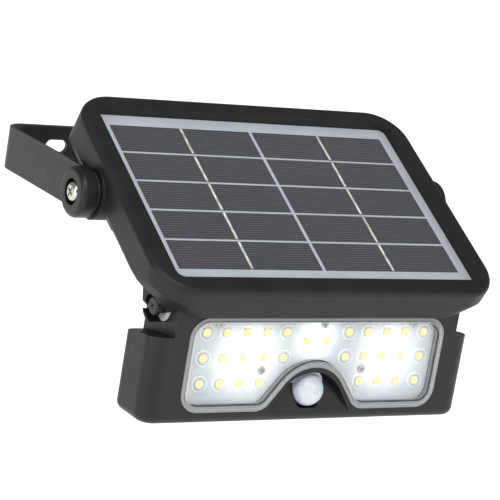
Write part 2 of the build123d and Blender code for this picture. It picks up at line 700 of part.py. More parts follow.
with BuildPart() as lamp_back_cover:
    add(head_outer)
    add(head_space, mode=Mode.SUBTRACT)
    with BuildSketch(split_plane):
        Rectangle(400, 400)
    extrude(amount=60, mode=Mode.SUBTRACT)
    with BuildSketch(lamp_face.offset(1 - HEAD_BACK)):
        with Locations(*LED_SCREWS):
            Circle(3.0)
    extrude(amount=HEAD_BACK - 1 - BOARD_FACE - BOARD_T)
    with BuildSketch(lamp_face.offset(-BOARD_FACE - BOARD_T)):
        with Locations(*LED_SCREWS):
            Circle(1.1)
    extrude(amount=-6, mode=Mode.SUBTRACT)
    with BuildSketch(lamp_face.offset(-HEAD_BACK - 1)):
        with Locations(*BACK_SCREWS):
            Circle(1.6)
        with Locations((BUTTON_X, BUTTON_Z)):
            Circle(BUTTON_R + RUNNING)
    extrude(amount=5, mode=Mode.SUBTRACT)
    with BuildSketch(split_plane):
        with Locations(*BACK_SCREWS):
            Circle(2.7)
            Circle(1.6, mode=Mode.SUBTRACT)
    extrude(amount=HEAD_SPLIT - HEAD_BACK + 1)
    with BuildSketch(lamp_face.offset(-HEAD_BACK - 1)):
        with Locations(*BACK_SCREWS):
            Circle(3.0)
    extrude(amount=1 + COUNTERBORE, mode=Mode.SUBTRACT)
    add(slot_space, mode=Mode.SUBTRACT)
save(lamp_back_cover.part, "lamp_back_cover")

back_seat = Plane(
    origin=(0, hinge[1] + HEAD_BACK - COUNTERBORE, hinge[2]), x_dir=(-1, 0, 0), z_dir=(0, 1, 0)
)
save(screws(back_seat, [(-x, z) for x, z in BACK_SCREWS], 1.1, 14.0, 2.7, 1.5, 3.0), "lamp_screws")

# ---- lens, light board and LEDs -----------------------------------------------------------
STEP, STEP_H = 1.5, 0.6
with BuildPart() as lens_cover:
    for level in range(3):
        add(lens_slab(level * STEP, front_at + (level + 1) * STEP_H, front_at))
    add(lens_slab(LENS_RIM + 0.15, front_at, front_at - 1.8))
    add(lens_slab(LENS_RIM + 1.4, front_at + 3 * STEP_H - 1.3, front_at - 1.8), mode=Mode.SUBTRACT)
save(lens_cover.part, "lens_cover")

with BuildPart() as led_board:
    add(lens_slab(3.0, -BOARD_FACE, -BOARD_FACE - BOARD_T))
    with BuildSketch(lamp_face.offset(-BOARD_FACE)):
        with Locations(*LED_SCREWS):
            Circle(1.4)
    extrude(amount=-BOARD_T, mode=Mode.SUBTRACT)
save(led_board.part, "led_board")

LED_ROWS = ((17.64, 5), (17.64, 5), (28.4, 4))    # first LED from the middle, LEDs per side
LED_SPOTS = [
    (s * (first + LED_PITCH_X * i), LED_TOP_Z - LED_PITCH_Z * row)
    for row, (first, count) in enumerate(LED_ROWS) for i in range(count) for s in sides
] + [(s * LED_PITCH_X / 2, LED_TOP_Z - 4.6) for s in sides]

with BuildPart() as led_chips:
    with BuildSketch(lamp_face.offset(-BOARD_FACE)):
        with Locations(*LED_SPOTS):
            Rectangle(3.0, 3.0)
    extrude(amount=0.8)
save(led_chips.part, "led_chips")

with BuildPart() as led_optics:
    with BuildSketch(lamp_face.offset(-BOARD_FACE)):
        with Locations(*LED_SPOTS):
            Circle(OPTIC_R)
    extrude(amount=1.0)
    with BuildSketch(lamp_face.offset(-BOARD_FACE)):
        with Locations(*LED_SPOTS):
            Circle(OPTIC_R - 0.5)
    extrude(amount=OPTIC_H)
    tops = led_optics.faces().group_by(Axis(lamp_face.origin, lamp_face.z_dir))[-1]
    fillet(tops.edges(), 1.6)
    with BuildSketch(lamp_face.offset(-BOARD_FACE)):
        with Locations(*LED_SPOTS):
            Circle(2.3)
    extrude(amount=1.0, mode=Mode.SUBTRACT)
save(led_optics.part, "led_optics")
board_front = lamp_face.offset(-BOARD_FACE)
save(screws(board_front, LED_SCREWS, 1.1, 6.0, 2.1, 1.1, 2.4), "led_board_screws")

# ---- motion sensor ------------------------------------------------------------------------
with BuildPart() as pir_lens:
    with BuildSketch(Plane(origin=dome_seat.origin, x_dir=(1, 0, 0), z_dir=-dome_seat.y_dir)):
        with BuildLine():
            Line((0, DOME_R), (0, DOME_R - 0.9))
            RadiusArc((0, DOME_R - 0.9), (DOME_R - 0.9, 0), DOME_R - 0.9)
            Polyline((DOME_R - 0.9, 0), (DOME_R - 0.9, FLANGE_AT - 0.9), (FLANGE_R, FLANGE_AT - 0.9),
                     (FLANGE_R, FLANGE_AT), (DOME_R, FLANGE_AT), (DOME_R, 0))
            RadiusArc((DOME_R, 0), (0, DOME_R), -DOME_R)
        make_face()
    revolve(axis=Axis(dome_seat.origin, dome_seat.z_dir))
save(pir_lens.part, "pir_lens")

with BuildPart() as pir_board:
    with BuildSketch(dome_seat.offset(FLANGE_AT - 1.0)):
        Circle(8.8)
    extrude(amount=-1.0)
save(pir_board.part, "pir_board")

with BuildPart() as pir_sensor:
    with BuildSketch(dome_seat.offset(FLANGE_AT - 1.0)):
        Circle(4.6)
    extrude(amount=0.5)
    with BuildSketch(dome_seat.offset(FLANGE_AT - 0.5)):
        Circle(4.1)
    extrude(amount=3.6)
    fillet(pir_sensor.edges().group_by(Axis(dome_seat.origin, dome_seat.z_dir))[-1], 0.5)
save(pir_sensor.part, "pir_sensor")

# ---- control board, switch and mode button ------------------------------------------------
CONTROL_X, CONTROL_Z, CONTROL_AT = BUTTON_X, -31.0, 2.0
CONTROL_SIZE = (26.0, 26.0)
control_plane = Plane(origin=(0, hinge[1] + CONTROL_AT, hinge[2]), x_dir=(-1, 0, 0), z_dir=(0, 1, 0))
with BuildPart() as control_board:
    with BuildSketch(control_plane):
        with Locations((-CONTROL_X, CONTROL_Z)):
            RectangleRounded(*CONTROL_SIZE, 1.0)
    extrude(amount=-BOARD_T)
save(control_board.part, "control_board")

BUTTON_TRAVEL, BUTTON_PROUD = 1.2, 1.6
switch_top = CONTROL_AT + 4.6
control_chips = ((8, 9, 6, 4, 1.6), (-4, 9.5, 7, 3.5, 4.2), (-9, -9, 4, 4, 1.2), (7, -9, 5, 4, 1.4))
with BuildPart() as control_components:
    with BuildSketch(control_plane):
        with Locations((-BUTTON_X, BUTTON_Z)):
            Rectangle(6, 6)
    extrude(amount=3.4)
    with BuildSketch(control_plane.offset(3.4)):
        with Locations((-BUTTON_X, BUTTON_Z)):
            Circle(1.7)
    extrude(amount=1.2)
    for dx, dz, w, l, h in control_chips:
        with BuildSketch(control_plane):
            with Locations((-CONTROL_X + dx, CONTROL_Z + dz)):
                Rectangle(w, l)
        extrude(amount=h)
save(control_components.part, "control_components")

button_plane = Plane(origin=(0, hinge[1], hinge[2]), x_dir=(-1, 0, 0), z_dir=(0, 1, 0))
with BuildPart() as mode_button:
    with BuildSketch(button_plane.offset(switch_top + BUTTON_TRAVEL + 0.1)):
        with Locations((-BUTTON_X, BUTTON_Z)):
            Circle(BUTTON_R)
    extrude(amount=HEAD_BACK + BUTTON_PROUD - switch_top - BUTTON_TRAVEL - 0.1)
    fillet(mode_button.edges().group_by(Axis.Y)[-1], 0.8)
    with BuildSketch(button_plane.offset(switch_top + BUTTON_TRAVEL + 0.1)):
        with Locations((-BUTTON_X, BUTTON_Z)):
            Circle(6.0)
    extrude(amount=1.5)
save(mode_button.part, "mode_button")

# ---- lamp hinge ---------------------------------------------------------------------------
with BuildPart() as hinge_inserts:
    for s in sides:
        with BuildSketch(lamp_side.offset(s * 68.5)):
            Circle(2.6)
            Circle(1.6, mode=Mode.SUBTRACT)
        extrude(amount=s * (HEAD_MID - 0.5 - 68.5))
save(hinge_inserts.part, "hinge_inserts")

with BuildPart() as hinge_washers:
    for s in sides:
        with BuildSketch(lamp_side.offset(s * HEAD_MID)):
            Circle(7.0)
            Circle(3.1, mode=Mode.SUBTRACT)
        extrude(amount=s * 0.4)
save(hinge_washers.part, "hinge_washers")

for s, side_name in zip(sides, ("left", "right")):
    face = Plane(origin=(s * (EAR_OUT - 0.9), *hinge[1:]), x_dir=(0, 0.5, 0.87), z_dir=(s, 0, 0))
    recess = cross_recess(face, 4.4, 1.5)
    with BuildPart() as hinge_screw:
        with BuildSketch(lamp_side.offset(s * 70)):
            Circle(1.6)
        extrude(amount=s * (HEAD_MID - 70))
        with BuildSketch(lamp_side.offset(s * HEAD_MID)):
            Circle(3.0)
        extrude(amount=s * (EAR_OUT - 3.4 - HEAD_MID))
        with BuildSketch(lamp_side.offset(s * (EAR_OUT - 3.4))):
            Circle(4.6)
        extrude(amount=s * 2.5)
        fillet(hinge_screw.edges().group_by(Axis.X)[-1 if s > 0 else 0], 1.4)
        add(recess, mode=Mode.SUBTRACT)
    save(hinge_screw.part, f"hinge_screw_{side_name}")

# ---- cable, grommet and wires -------------------------------------------------------------
WIRE_R = 0.7
with BuildPart() as cable_grommet:
    with BuildSketch(cable_plane.offset(CORE_R + 0.2)):
        Circle(GROMMET_R)
        Circle(CABLE_R, mode=Mode.SUBTRACT)
    extrude(amount=2.6)
save(cable_grommet.part, "cable_grommet")


def along_hinge(x, y, z):
    """A point measured from the lamp's hinge axis."""
    return (x, hinge[1] + y, hinge[2] + z)


def lead(points, radius, bend):
    """A round wire along straight runs joined by bends."""
    with BuildPart() as wire:
        with BuildLine() as path:
            FilletPolyline(*points, radius=bend)
        with BuildSketch(Plane(path.line @ 0, z_dir=path.line % 0)):
            Circle(radius)
        sweep()
    return wire.part


def up_cable(distance):
    """A point on the cable's way out of the hinge, at a distance from the axis."""
    return along_hinge(CABLE_X, distance * cable_way[1], distance * cable_way[2])


housing_cable = lead(
    [up_cable(CABLE_GAP), up_cable(18.5), row_point(CABLE_X, 4, -7.6), row_point(CABLE_X, 20, -11.6),
     row_point(24.0, 20, -11.6)], CABLE_R, 3.2,
)
save(housing_cable, "housing_cable")
lamp_cable = lead(
    [along_hinge(CABLE_X, 0, -CABLE_GAP), along_hinge(CABLE_X, 0, -9), along_hinge(6, 4.4, -14),
     along_hinge(-44, 4.4, -14), along_hinge(-44, 4.4, -19.7)], CABLE_R, 3.2,
)
save(lamp_cable, "lamp_cable")

contact_face = BATTERY_X + BATTERY_L / 2 + 1.5
battery_leads = [
    lead([row_point(contact_face, y, -11), row_point(12, y, -11), row_point(18, y, -13.7),
          row_point(26, y, -13.7)], WIRE_R, 2.4)
    for y in (26.0, 30.0)
]
save(Compound(battery_leads), "battery_leads")
panel_leads = [
    lead([row_point(x, 4, sheet_bottom), row_point(x, 4, -9), row_point(x, 11, -13.7),
          row_point(x, 17, -13.7)], WIRE_R, 2.4)
    for x in (50.0, 54.0)
]
save(Compound(panel_leads), "panel_leads")
with BuildPart() as led_leads:
    with BuildSketch(lamp_face.offset(-CONTROL_AT + BOARD_T)):
        with Locations((-39.0, -24.0), (-39.0, -28.0)):
            Circle(WIRE_R)
    extrude(amount=-BOARD_FACE - 2 * BOARD_T + CONTROL_AT)
save(led_leads.part, "led_leads")
sensor_leads = [
    lead([along_hinge(-6, -4.9, z), along_hinge(-10, -2, z), along_hinge(-28, 2.7, z),
          along_hinge(-40, 2.7, z)], WIRE_R, 2.4)
    for z in (-36.5, -33.5)
]
save(Compound(sensor_leads), "sensor_leads")
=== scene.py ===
"""Looks for the wall-mounted solar flood light: materials, small surface detail, floor, lights and camera.

Everything is in metres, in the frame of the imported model: +Y into the wall, +Z up, the lamp faces -Y.
"""

from math import cos, pi, radians, sin

import bmesh
import bpy
from mathutils import Matrix, Vector


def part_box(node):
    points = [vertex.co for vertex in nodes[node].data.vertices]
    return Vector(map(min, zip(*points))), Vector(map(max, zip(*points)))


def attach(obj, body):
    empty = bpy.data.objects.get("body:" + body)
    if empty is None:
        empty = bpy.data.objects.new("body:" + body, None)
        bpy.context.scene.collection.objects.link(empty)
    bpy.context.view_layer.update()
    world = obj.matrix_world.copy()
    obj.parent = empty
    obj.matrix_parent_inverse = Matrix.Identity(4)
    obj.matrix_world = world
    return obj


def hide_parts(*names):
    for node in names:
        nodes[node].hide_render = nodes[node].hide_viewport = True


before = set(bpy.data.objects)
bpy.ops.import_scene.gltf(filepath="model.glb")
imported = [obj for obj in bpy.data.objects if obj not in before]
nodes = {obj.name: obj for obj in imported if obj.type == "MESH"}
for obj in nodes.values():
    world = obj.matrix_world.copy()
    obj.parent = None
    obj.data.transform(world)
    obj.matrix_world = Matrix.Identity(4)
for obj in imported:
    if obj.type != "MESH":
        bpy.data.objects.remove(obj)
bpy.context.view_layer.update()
MM = 0.001

# ---- reference places ---------------------------------------------------------------------
PANEL_TILT = radians(29)
glass_low, glass_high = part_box("panel_glass")
chips_low, chips_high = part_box("led_chips")
dome_low, dome_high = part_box("pir_lens")
lens_low, lens_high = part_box("lens_cover")
panel_middle = (glass_low + glass_high) / 2

# LEDs, as on the light board
LED_PITCH_X, LED_PITCH_Z = 10.94 * MM, 12.36 * MM
LED_ROWS = ((17.64 * MM, 5), (17.64 * MM, 5), (28.4 * MM, 4))

# painted glow on the light board, standing in for the LEDs' light spreading over it: X, Z, reach and strength
# of each glow
row_two = chips_high.z - 1.5 * MM - LED_PITCH_Z
PAINTED_GLOW_SPOTS = (
    (-37.0 * MM, row_two, 13.0 * MM, 1.4),
    (42.0 * MM, row_two, 13.0 * MM, 1.3),
    (0.0, row_two + 9.0 * MM, 9.0 * MM, 1.5),
)


# ---- node trees ---------------------------------------------------------------------------
class Look:
    """One procedural material, built a node at a time."""

    def __init__(self, name):
        self.material = bpy.data.materials.new(name)
        self.material.use_nodes = True
        self.tree = self.material.node_tree
        self.tree.nodes.clear()
        self.place = self.node("ShaderNodeTexCoord").outputs["Object"]

    def node(self, kind, sockets=None, **settings):
        made = self.tree.nodes.new(kind)
        for key, value in settings.items():
            setattr(made, key, value)
        for key, value in (sockets or {}).items():
            if isinstance(value, bpy.types.NodeSocket):
                self.tree.links.new(value, made.inputs[key])
            else:
                made.inputs[key].default_value = value
        return made

    def math(self, operation, a, b=0.0, c=0.0):
        return self.node("ShaderNodeMath", {0: a, 1: b, 2: c}, operation=operation).outputs[0]

    def noise(self, scale, detail=2.0, where=None, stretch=None, rough=0.5):
        """Noise whose grain is about 1 / scale metres."""
        where = where or self.place
        if stretch:
            where = self.node("ShaderNodeMapping", {"Vector": where, "Scale": stretch}).outputs[0]
        sockets = {"Vector": where, "Scale": scale, "Detail": detail, "Roughness": rough}
        return self.node("ShaderNodeTexNoise", sockets).outputs["Fac"]

    def turned(self, angle, origin=(0, 0, 0)):
        """Object coordinates seen from an origin, turned about X so that local Y runs up the slope."""
        moved = self.node("ShaderNodeVectorMath", {0: self.place, 1: tuple(origin)}, operation="SUBTRACT")
        turn = self.node("ShaderNodeVectorRotate", {"Vector": moved.outputs[0], "Angle": -angle},
                         rotation_type="X_AXIS")
        return turn.outputs[0]

    def split(self, vector):
        return self.node("ShaderNodeSeparateXYZ", {0: vector}).outputs

    def ramp(self, value, low, high, out_low=0.0, out_high=1.0, smooth=True):
        sockets = {"Value": value, "From Min": low, "From Max": high, "To Min": out_low, "To Max": out_high}
        kind = "SMOOTHSTEP" if smooth else "LINEAR"
        return self.node("ShaderNodeMapRange", sockets, interpolation_type=kind, clamp=True).outputs[0]

    def mix(self, factor, a, b):
        """A colour between a and b."""
        made = self.node("ShaderNodeMix", {"Factor": factor}, data_type="RGBA")
        for index, value in ((6, a), (7, b)):
            if isinstance(value, bpy.types.NodeSocket):
                self.tree.links.new(value, made.inputs[index])
            else:
                made.inputs[index].default_value = (*value, 1)
        return made.outputs[2]

    def bump(self, height, distance, strength=0.5, normal=None):
        sockets = {"Height": height, "Distance": distance, "Strength": strength}
        if normal:
            sockets["Normal"] = normal
        return self.node("ShaderNodeBump", sockets).outputs[0]

    def soft_edges(self, radius):
        return self.node("ShaderNodeBevel", {"Radius": radius}, samples=4).outputs[0]

    def principled(self, **sockets):
        named = {key.replace("_", " "): value for key, value in sockets.items()}
        for key in ("Base Color", "Emission Color"):
            if key in named and not isinstance(named[key], bpy.types.NodeSocket):
                named[key] = (*named[key], 1)
        return self.node("ShaderNodeBsdfPrincipled", named).outputs[0]

    def finish(self, shader):
        out = self.node("ShaderNodeOutputMaterial")
        self.tree.links.new(shader, out.inputs["Surface"])
        return self.material


# ---- materials ----------------------------------------------------------------------------
def moulded_plastic(name, colour, rough, grain=2600, depth=0.00003, edge=0.0005):
    """Fine spark-eroded texture on dark plastic, paler and smoother on the edges: partly wear, partly a
    painted edge highlight.
    """
    look = Look(name)
    patches = look.noise(60, 3)
    speckle = look.noise(1500, 2)
    fine = look.noise(grain, 3, rough=0.7)
    edge_normal = look.soft_edges(edge * 2.5)
    straight = look.node("ShaderNodeNewGeometry").outputs["Normal"]
    facing = look.node("ShaderNodeVectorMath", {0: edge_normal, 1: straight}, operation="DOT_PRODUCT")
    wear_and_edge_highlight = look.ramp(facing.outputs["Value"], 0.995, 0.86, 0.0, 1.0)
    wear_and_edge_highlight = look.math("MULTIPLY", wear_and_edge_highlight, look.ramp(look.noise(350, 3), 0.35, 0.7, 0.15, 0.8))
    dark = tuple(channel * 0.8 for channel in colour)
    pale = tuple(channel * 1.25 for channel in colour)
    base = look.mix(look.ramp(patches, 0.3, 0.7), dark, pale)
    speck_colour = tuple(channel * 1.9 for channel in colour)
    worn_highlight_colour = tuple(channel * 2.4 + 0.004 for channel in colour)
    base = look.mix(look.ramp(speckle, 0.55, 0.75, 0.0, 0.35), base, speck_colour)
    # painted edge highlight, partly wear: edges where the bevel normal turns away are mixed toward a paler
    # colour
    base = look.mix(look.math("MULTIPLY", wear_and_edge_highlight, 0.5), base, worn_highlight_colour)
    roughness = look.ramp(patches, 0.3, 0.7, rough - 0.04, rough + 0.05)
    roughness = look.math("SUBTRACT", roughness, look.math("MULTIPLY", wear_and_edge_highlight, 0.1))
    normal = look.bump(fine, depth, 0.55, look.soft_edges(edge))
    return look.finish(look.principled(
        Base_Color=base, Roughness=roughness, Normal=normal, Specular_IOR_Level=0.3,
    ))


def powder_coat(name, colour, rough):
    """Sprayed paint with a slight orange peel, with a painted highlight along the strap's edges that also
    stands for thinner, worn paint there.
    """
    look = Look(name)
    peel = look.noise(700, 2)
    grit = look.noise(3200, 2)
    cloud = look.noise(45, 2)
    edge_normal = look.soft_edges(0.0011)
    straight = look.node("ShaderNodeNewGeometry").outputs["Normal"]
    facing = look.node("ShaderNodeVectorMath", {0: edge_normal, 1: straight}, operation="DOT_PRODUCT")
    wear_and_edge_highlight = look.ramp(facing.outputs["Value"], 0.99, 0.8, 0.0, 1.0)
    base = look.mix(look.ramp(cloud, 0.3, 0.7), colour, tuple(channel * 1.3 for channel in colour))
    base = look.mix(look.ramp(grit, 0.62, 0.75, 0.0, 0.15), base, tuple(channel * 2.0 for channel in colour))
    # painted edge highlight along the strap's edges, partly worn paint: the edges are mixed toward a pale
    # grey
    base = look.mix(look.math("MULTIPLY", wear_and_edge_highlight, 0.75), base, (0.13, 0.13, 0.135))
    roughness = look.ramp(peel, 0.3, 0.7, rough - 0.05, rough + 0.06)
    normal = look.bump(peel, 0.00004, 0.5, look.bump(grit, 0.00002, 0.4, look.soft_edges(0.0004)))
    return look.finish(look.principled(
        Base_Color=base, Roughness=roughness, Normal=normal, Specular_IOR_Level=0.32,
    ))


def steel(name, colour, axis_scale):
    """Turned and plated metal: fine lines around the tool's path, faint stains and soft edges."""
    look = Look(name)
    lines = look.noise(900, 3, stretch=axis_scale)
    stain = look.noise(500, 3)
    base = look.mix(look.ramp(stain, 0.35, 0.75), colour, tuple(channel * 0.72 for channel in colour))
    roughness = look.ramp(lines, 0.3, 0.7, 0.16, 0.3)
    normal = look.bump(lines, 0.00002, 0.35, look.soft_edges(0.00025))
    return look.finish(look.principled(Base_Color=base, Metallic=1.0, Roughness=roughness, Normal=normal))


def silicon_cell(name):
    """Dark blue-grey cells with fine silver fingers along X and faint crystal grain."""
    look = Look(name)
    across, up, _ = look.split(look.turned(PANEL_TILT, panel_middle))
    pitch = 1.55 * MM
    saw = look.math("FRACT", look.math("DIVIDE", up, pitch))
    line = look.math("ABSOLUTE", look.math("SUBTRACT", saw, 0.5))
    finger = look.ramp(line, 0.10, 0.03)
    breaks = look.ramp(look.noise(260, 3), 0.25, 0.5, 0.45, 1.0)
    grain = look.node("ShaderNodeTexVoronoi", {"Vector": look.place, "Scale": 160.0})
    crystal = look.split(grain.outputs["Color"])[0]
    tint = look.noise(14, 2)
    base = look.mix(look.ramp(tint, 0.35, 0.65), (0.026, 0.026, 0.036), (0.032, 0.027, 0.040))
    base = look.mix(look.math("MULTIPLY", crystal, 0.2), base, (0.040, 0.040, 0.058))
    printed = look.math("MULTIPLY", finger, look.math("MULTIPLY", breaks, 0.75))
    base = look.mix(printed, base, (0.22, 0.22, 0.25))
    normal = look.bump(finger, 0.00001, 0.3)
    return look.finish(look.principled(
        Base_Color=base, Roughness=look.ramp(crystal, 0.0, 1.0, 0.34, 0.46), Normal=normal,
        Specular_IOR_Level=0.4,
    ))


def solder_ribbon(name):
    """Tinned ribbon: creamy solder with breaks where the paste is bare."""
    look = Look(name)
    blobs = look.noise(420, 3, stretch=(1.0, 0.5, 0.5))
    small = look.noise(1800, 2)
    base = look.mix(look.ramp(blobs, 0.35, 0.6), (0.50, 0.46, 0.40), (0.88, 0.86, 0.79))
    base = look.mix(look.ramp(small, 0.6, 0.75, 0.0, 0.6), base, (0.9, 0.89, 0.84))
    roughness = look.ramp(blobs, 0.3, 0.7, 0.55, 0.35)
    normal = look.bump(blobs, 0.00008, 0.8, look.bump(small, 0.00004, 0.5))
    return look.finish(look.principled(Base_Color=base, Metallic=0.1, Roughness=roughness, Normal=normal))


def white_sheet(name):
    """The laminate's back sheet: cool grey-white with a faint weave pressed into it."""
    look = Look(name)
    across, up, _ = look.split(look.turned(PANEL_TILT, panel_middle))
    weave_x = look.math("SINE", look.math("MULTIPLY", across, 2 * pi / (0.9 * MM)))
    weave_y = look.math("SINE", look.math("MULTIPLY", up, 2 * pi / (0.9 * MM)))
    weave = look.math("MULTIPLY", weave_x, weave_y)
    cloud = look.noise(50, 3)
    base = look.mix(look.ramp(cloud, 0.3, 0.7), (0.475, 0.50, 0.54), (0.53, 0.55, 0.585))
    base = look.mix(look.ramp(weave, -1, 1, 0.0, 0.12), base, (0.38, 0.40, 0.43))
    normal = look.bump(weave, 0.00002, 0.4)
    return look.finish(look.principled(Base_Color=base, Roughness=0.42, Normal=normal))


def pane(name, tint, rough, haze, haze_colour, ior=1.5, bump_depth=0.0, mask=None, edge_radius=0.0002,
         glow=0.0):
    """Thin clear plastic or glass: it lets light straight through and mirrors by angle, with some haze."""
    look = Look(name)
    dust = look.noise(300, 3)
    fine = look.noise(2400, 2)
    normal = look.soft_edges(edge_radius)
    if bump_depth:
        normal = look.bump(look.noise(120, 2), bump_depth, 0.5, normal)
    clear = look.node("ShaderNodeBsdfTransparent", {"Color": (*tint, 1)}).outputs[0]
    # with glow above zero the haze emits light: a painted glow, as if lit from within
    milky = look.principled(Base_Color=haze_colour, Roughness=0.4, Normal=normal,
                            Emission_Color=(1, 1, 1), Emission_Strength=glow)
    gloss = look.node("ShaderNodeBsdfGlossy", {"Color": (1, 1, 1, 1), "Roughness": rough, "Normal": normal})
    amount = look.ramp(dust, 0.35, 0.75, haze * 0.7, haze * 1.3)
    amount = look.math("ADD", amount, look.ramp(fine, 0.66, 0.8, 0.0, haze * 0.5))
    if mask:
        amount = look.math("MAXIMUM", amount, mask(look))
    outside = look.math("SUBTRACT", 1.0, look.node("ShaderNodeNewGeometry").outputs["Backfacing"])
    amount = look.math("MULTIPLY", amount, outside)
    body = look.node("ShaderNodeMixShader", {0: amount, 1: clear, 2: milky}).outputs[0]
    mirror = look.node("ShaderNodeFresnel", {"IOR": ior, "Normal": normal}).outputs[0]
    mirror = look.math("MULTIPLY", mirror, outside)
    shader = look.node("ShaderNodeMixShader", {0: mirror, 1: body, 2: gloss.outputs[0]}).outputs[0]
    return look.finish(shader)


def lens_rim(look):
    """More haze on the lens's stepped rim, which sits further back than its face."""
    y = look.split(look.place)[1]
    return look.ramp(y, lens_low.y + 0.0002, lens_low.y + 0.0007, 0.0, 0.38)


def optic_rim(look):
    """The flange of each LED's little dome is milky, and the dome's sides turn milky white by angle as a
    painted ring highlight.
    """
    y = look.split(look.place)[1]
    flange = look.ramp(y, chips_high.y - 0.0013, chips_high.y - 0.0009, 0.0, 0.85)
    # painted ring highlight: the dome's sides go milky white by viewing angle
    facing = look.node("ShaderNodeLayerWeight", {"Blend": 0.5}).outputs["Facing"]
    side = look.ramp(facing, 0.45, 0.95, 0.0, 0.7)
    return look.math("MAXIMUM", flange, side)


def frosted_dome(name):
    """The motion sensor's milky dome, with its grid of small moulded lenses."""
    look = Look(name)
    middle = (dome_low + dome_high) / 2
    local = look.node("ShaderNodeVectorMath", {0: look.place, 1: tuple(middle)}, operation="SUBTRACT")
    sockets = {"Vector": local.outputs[0], "Scale": 420.0, "Randomness": 0.35}
    facets = look.node("ShaderNodeTexVoronoi", sockets, feature="DISTANCE_TO_EDGE")
    seam = look.ramp(facets.outputs["Distance"], 0.0, 0.09, 1.0, 0.0)
    cloud = look.noise(260, 2)
    base = look.mix(look.ramp(cloud, 0.3, 0.7), (0.50, 0.54, 0.59), (0.58, 0.61, 0.66))
    base = look.mix(look.math("MULTIPLY", seam, 0.18), base, (0.38, 0.41, 0.46))
    normal = look.bump(seam, 0.00012, 0.5)
    return look.finish(look.principled(
        Base_Color=base, Roughness=0.34, Normal=normal, Subsurface_Weight=0.35,
        Subsurface_Radius=(0.002, 0.002, 0.002), Subsurface_Scale=1.0,
    ))


def circuit(name, mask_colour, trace_colour, paste, scale, rough=0.4):
    """Solder mask over copper tracks, with flashes of bare pads."""
    look = Look(name)
    tracks = look.noise(scale, 1, stretch=(1.0, 0.15, 0.35))
    track = look.ramp(look.math("ABSOLUTE", look.math("SUBTRACT", tracks, 0.5)), 0.035, 0.02)
    pads = look.node("ShaderNodeTexVoronoi", {"Vector": look.place, "Scale": scale * 1.6}).outputs["Distance"]
    pad = look.ramp(pads, 0.14, 0.09)
    base = look.mix(look.ramp(look.noise(80, 2), 0.3, 0.7), mask_colour,
                    tuple(channel * 0.9 for channel in mask_colour))
    base = look.mix(look.math("MULTIPLY", track, 0.7), base, trace_colour)
    base = look.mix(look.math("MULTIPLY", pad, paste), base, (0.55, 0.55, 0.52))
    normal = look.bump(track, 0.00004, 0.5)
    return look.finish(look.principled(Base_Color=base, Roughness=rough, Normal=normal, Coat_Weight=0.2))


def lit_board(name):
    """The white light board: cool white mask, faint grey tracks and a painted glow, emission that stands in
    for the light spreading from each LED.
    """
    look = Look(name)
    tracks = look.noise(110, 1, stretch=(1.0, 0.2, 0.5))
    track = look.ramp(look.math("ABSOLUTE", look.math("SUBTRACT", tracks, 0.5)), 0.03, 0.016)
    base = look.mix(look.ramp(look.noise(70, 2), 0.3, 0.7), (0.58, 0.61, 0.64), (0.66, 0.69, 0.71))
    base = look.mix(look.math("MULTIPLY", track, 0.22), base, (0.50, 0.53, 0.55))
    normal = look.bump(track, 0.00003, 0.4)
    x, _, z = look.split(look.place)
    # painted glow: the whole board emits a little, and more at each glow spot, as if lit by the LEDs
    glow = 0.08
    for centre_x, centre_z, reach, power in PAINTED_GLOW_SPOTS:
        across = look.math("POWER", look.math("DIVIDE", look.math("SUBTRACT", x, centre_x), reach), 2.0)
        along = look.math("POWER", look.math("DIVIDE", look.math("SUBTRACT", z, centre_z), reach), 2.0)
        spot = look.math("POWER", 2.718, look.math("MULTIPLY", look.math("ADD", across, along), -1.0))
        glow = look.math("ADD", look.math("MULTIPLY", spot, power), glow)
    return look.finish(look.principled(
        Base_Color=base, Roughness=0.38, Normal=normal,
        Emission_Color=(0.95, 0.98, 1.0), Emission_Strength=glow,
    ))


def rubber(name, colour):
    """Matt rubber with a fine grain and a little dust."""
    look = Look(name)
    fine = look.noise(1900, 3)
    dust = look.noise(240, 3)
    dusty = tuple(channel * 1.8 + 0.006 for channel in colour)
    base = look.mix(look.ramp(dust, 0.45, 0.8, 0.0, 0.6), colour, dusty)
    normal = look.bump(fine, 0.00005, 0.6, look.soft_edges(0.0003))
    return look.finish(look.principled(Base_Color=base, Roughness=look.ramp(dust, 0.3, 0.7, 0.62, 0.78),
                                       Normal=normal, Specular_IOR_Level=0.35))


def smooth_plastic(name, colour, rough=0.35, second=None, scale=400):
    """Smooth moulding or coating, clouded between two close colours."""
    look = Look(name)
    cloud = look.noise(scale, 3)
    second = second or tuple(channel * 0.75 for channel in colour)
    base = look.mix(look.ramp(cloud, 0.35, 0.7), colour, second)
    normal = look.bump(look.noise(1800, 2), 0.00002, 0.4, look.soft_edges(0.0002))
    roughness = look.ramp(cloud, 0.3, 0.7, rough - 0.05, rough + 0.06)
    return look.finish(look.principled(Base_Color=base, Roughness=roughness, Normal=normal))


def lit_phosphor(name, colour, strength):
    """Warm phosphor, brighter in the middle of its grain."""
    look = Look(name)
    grain = look.noise(2600, 2)
    glow = look.mix(look.ramp(grain, 0.3, 0.7), colour, tuple(min(1.0, channel * 1.15) for channel in colour))
    return look.finish(look.principled(
        Base_Color=(0.80, 0.60, 0.20), Roughness=0.5, Emission_Color=glow, Emission_Strength=strength,
        Normal=look.bump(grain, 0.00003, 0.5),
    ))


